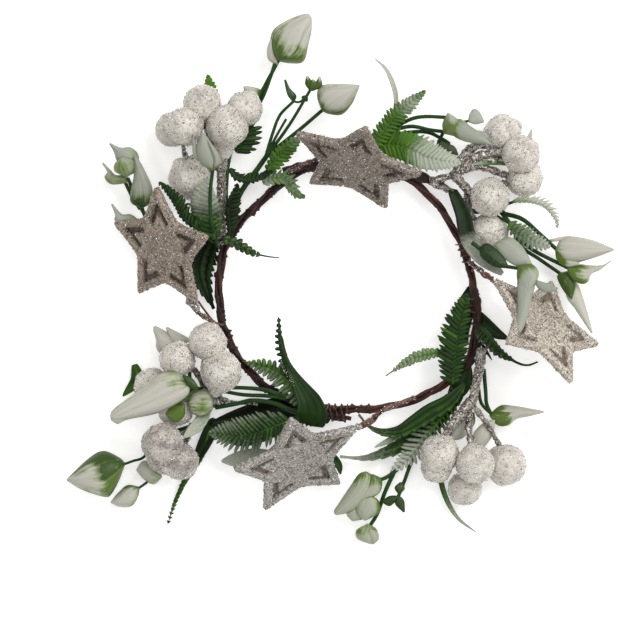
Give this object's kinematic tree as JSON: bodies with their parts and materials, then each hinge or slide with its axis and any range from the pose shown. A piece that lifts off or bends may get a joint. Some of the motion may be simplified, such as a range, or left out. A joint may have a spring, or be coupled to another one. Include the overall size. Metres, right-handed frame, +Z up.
{
  "type": "christmas candle wreath",
  "caption": "Small artificial wreath that lies flat round a candle: a twisted vine ring with glitter stars, frosted berry sprays, fern fronds and white tulip buds.",
  "frame": {"origin": "centre of the wreath's box in plan, on the surface that it lies on", "axes": "+Z up through the hole; +Y towards the top star; +X towards the right star"},
  "size_m": [0.2198, 0.2136, 0.0499],
  "materials": {
    "vine": "dark reddish-brown twisted vine, matt",
    "binding_wire": "thin brown lacquered binding wire",
    "star_glitter": "foam board covered in fine champagne glitter",
    "twig_glitter": "wrapped wire dusted with silver glitter",
    "berry_frost": "off-white foam berry with sugar frosting and sparkle",
    "petal_white": "moulded white tulip bud on green stems, thin frosting",
    "fern_frosted": "moulded fern leaflets under pale frosting",
    "fern_green": "moulded dark-green fern, satin",
    "leaf_green": "moulded slender leaf, satin, lightly frosted"
  },
  "bodies": {
    "root": {"vine_strand_1": "vine", "vine_strand_2": "vine", "vine_strand_3": "vine", "binding_wire_east": "binding_wire", "binding_wire_north_east": "binding_wire", "binding_wire_south": "binding_wire", "star_top": "star_glitter", "star_left": "star_glitter", "star_bottom": "star_glitter", "star_right": "star_glitter", "star_stem_top": "twig_glitter", "star_stem_left": "twig_glitter", "star_stem_bottom": "twig_glitter", "star_stem_right": "twig_glitter", "berry_spray_north_west": "berry_frost", "berry_spray_north_east": "berry_frost", "berry_spray_south_east": "berry_frost", "berry_spray_south_west": "berry_frost", "buds_north": "petal_white", "buds_west": "petal_white", "bud_north_west": "petal_white", "buds_north_east": "petal_white", "buds_east": "petal_white", "bud_east_fall": "petal_white", "bud_south_east": "petal_white", "buds_south": "petal_white", "buds_south_west": "petal_white", "bud_south_west_long": "petal_white", "frond_n_right": "fern_frosted", "frond_nw_curl": "fern_frosted", "frond_w_frosted": "fern_frosted", "frond_e_hole": "fern_frosted", "frond_se_frosted": "fern_frosted", "frond_ne_tip": "fern_frosted", "frond_e_star": "fern_frosted", "frond_n_tall": "fern_green", "frond_n_left": "fern_green", "frond_nw_inner": "fern_green", "frond_nw_outer": "fern_green", "frond_nw_small": "fern_green", "frond_nw_ring": "fern_green", "frond_w_hole": "fern_green", "frond_w_dark": "fern_green", "frond_s_hole": "fern_green", "frond_s_upright": "fern_green", "frond_s_root": "fern_green", "frond_sw_broad": "fern_green", "frond_sw_back": "fern_green", "frond_e_ring": "fern_green", "frond_se_curl": "fern_green", "frond_se_long": "fern_green", "frond_ne_low": "fern_green", "leaf_n_white": "leaf_green", "leaf_ne_dark": "leaf_green", "leaf_se_slender": "leaf_green", "leaf_sw_dark": "leaf_green", "leaf_s_grey": "leaf_green", "leaf_w_dark": "leaf_green", "leaf_e_blade": "leaf_green", "leaf_sw_green": "leaf_green"}
  },
  "joints": []
}
